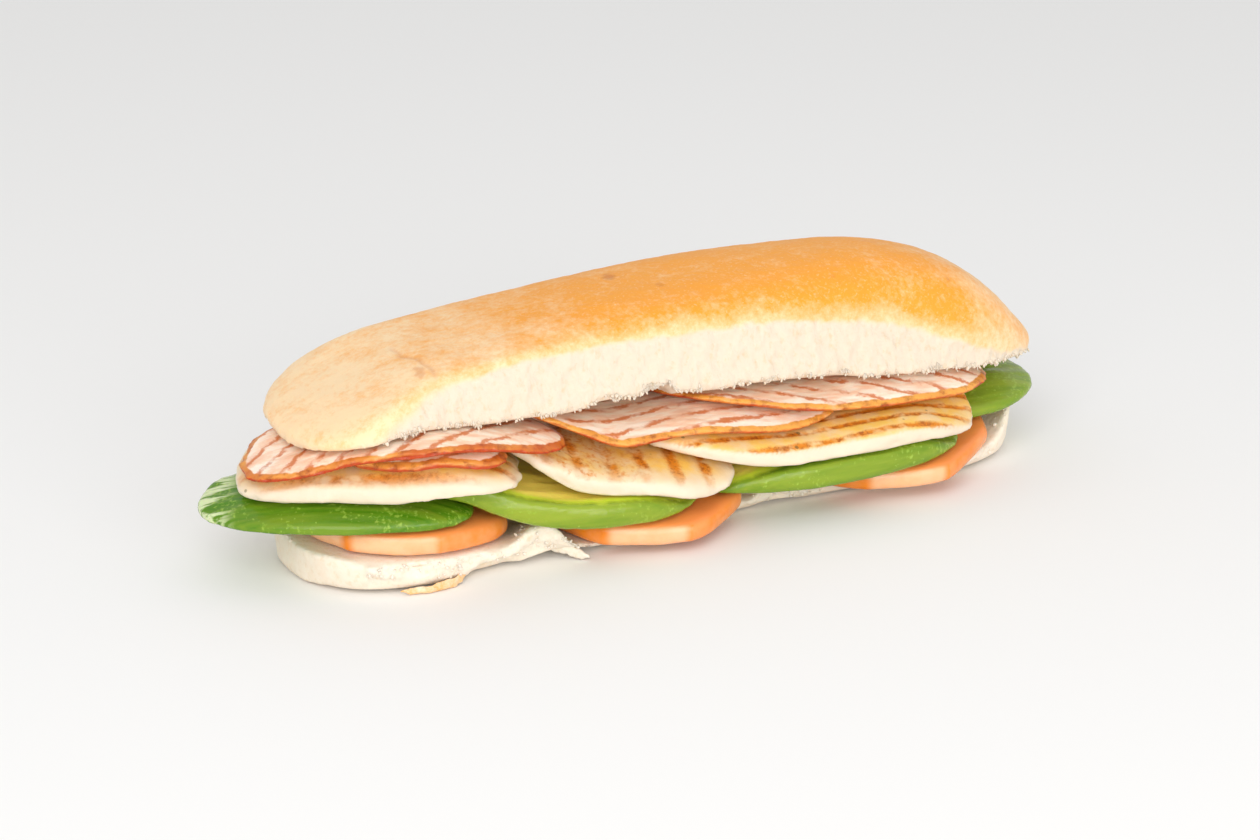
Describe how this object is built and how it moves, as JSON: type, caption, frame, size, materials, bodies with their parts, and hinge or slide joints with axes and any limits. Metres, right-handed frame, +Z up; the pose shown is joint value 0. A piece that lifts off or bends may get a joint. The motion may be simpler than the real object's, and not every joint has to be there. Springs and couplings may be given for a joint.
{
  "type": "halloumi and bacon sandwich",
  "caption": "Long soft white sub roll cut through and filled with tomato slices, lengthwise cucumber slices, grilled halloumi slices and grilled back bacon.",
  "frame": {"origin": "on the table plane, under the middle of the sandwich's bounding box", "axes": "+X along the roll towards its right end seen from the front, +Y away from the front, +Z up"},
  "size_m": [0.2894, 0.0896, 0.0737],
  "materials": {
    "bread_crumb": "soft torn white bread crumb, matte",
    "bread_crust": "thin soft golden bread crust, satin",
    "tomato": "wet tomato skin and flesh, glossy",
    "cucumber": "cucumber skin with pale flesh, glossy",
    "halloumi": "grilled cheese with brown griddle marks, satin",
    "bacon": "grilled back bacon with an orange-brown rind edge, oily satin"
  },
  "bodies": {
    "root": {"bread_bottom": "bread_crumb", "bread_top": "bread_crust", "tomato_left": "tomato", "tomato_centre": "tomato", "tomato_right": "tomato", "cucumber_left": "cucumber", "cucumber_centre": "cucumber", "cucumber_right": "cucumber", "cucumber_tip": "cucumber", "halloumi_left": "halloumi", "halloumi_centre": "halloumi", "halloumi_right": "halloumi", "bacon_under": "bacon", "bacon_left": "bacon", "bacon_centre": "bacon", "bacon_right": "bacon"}
  },
  "joints": []
}
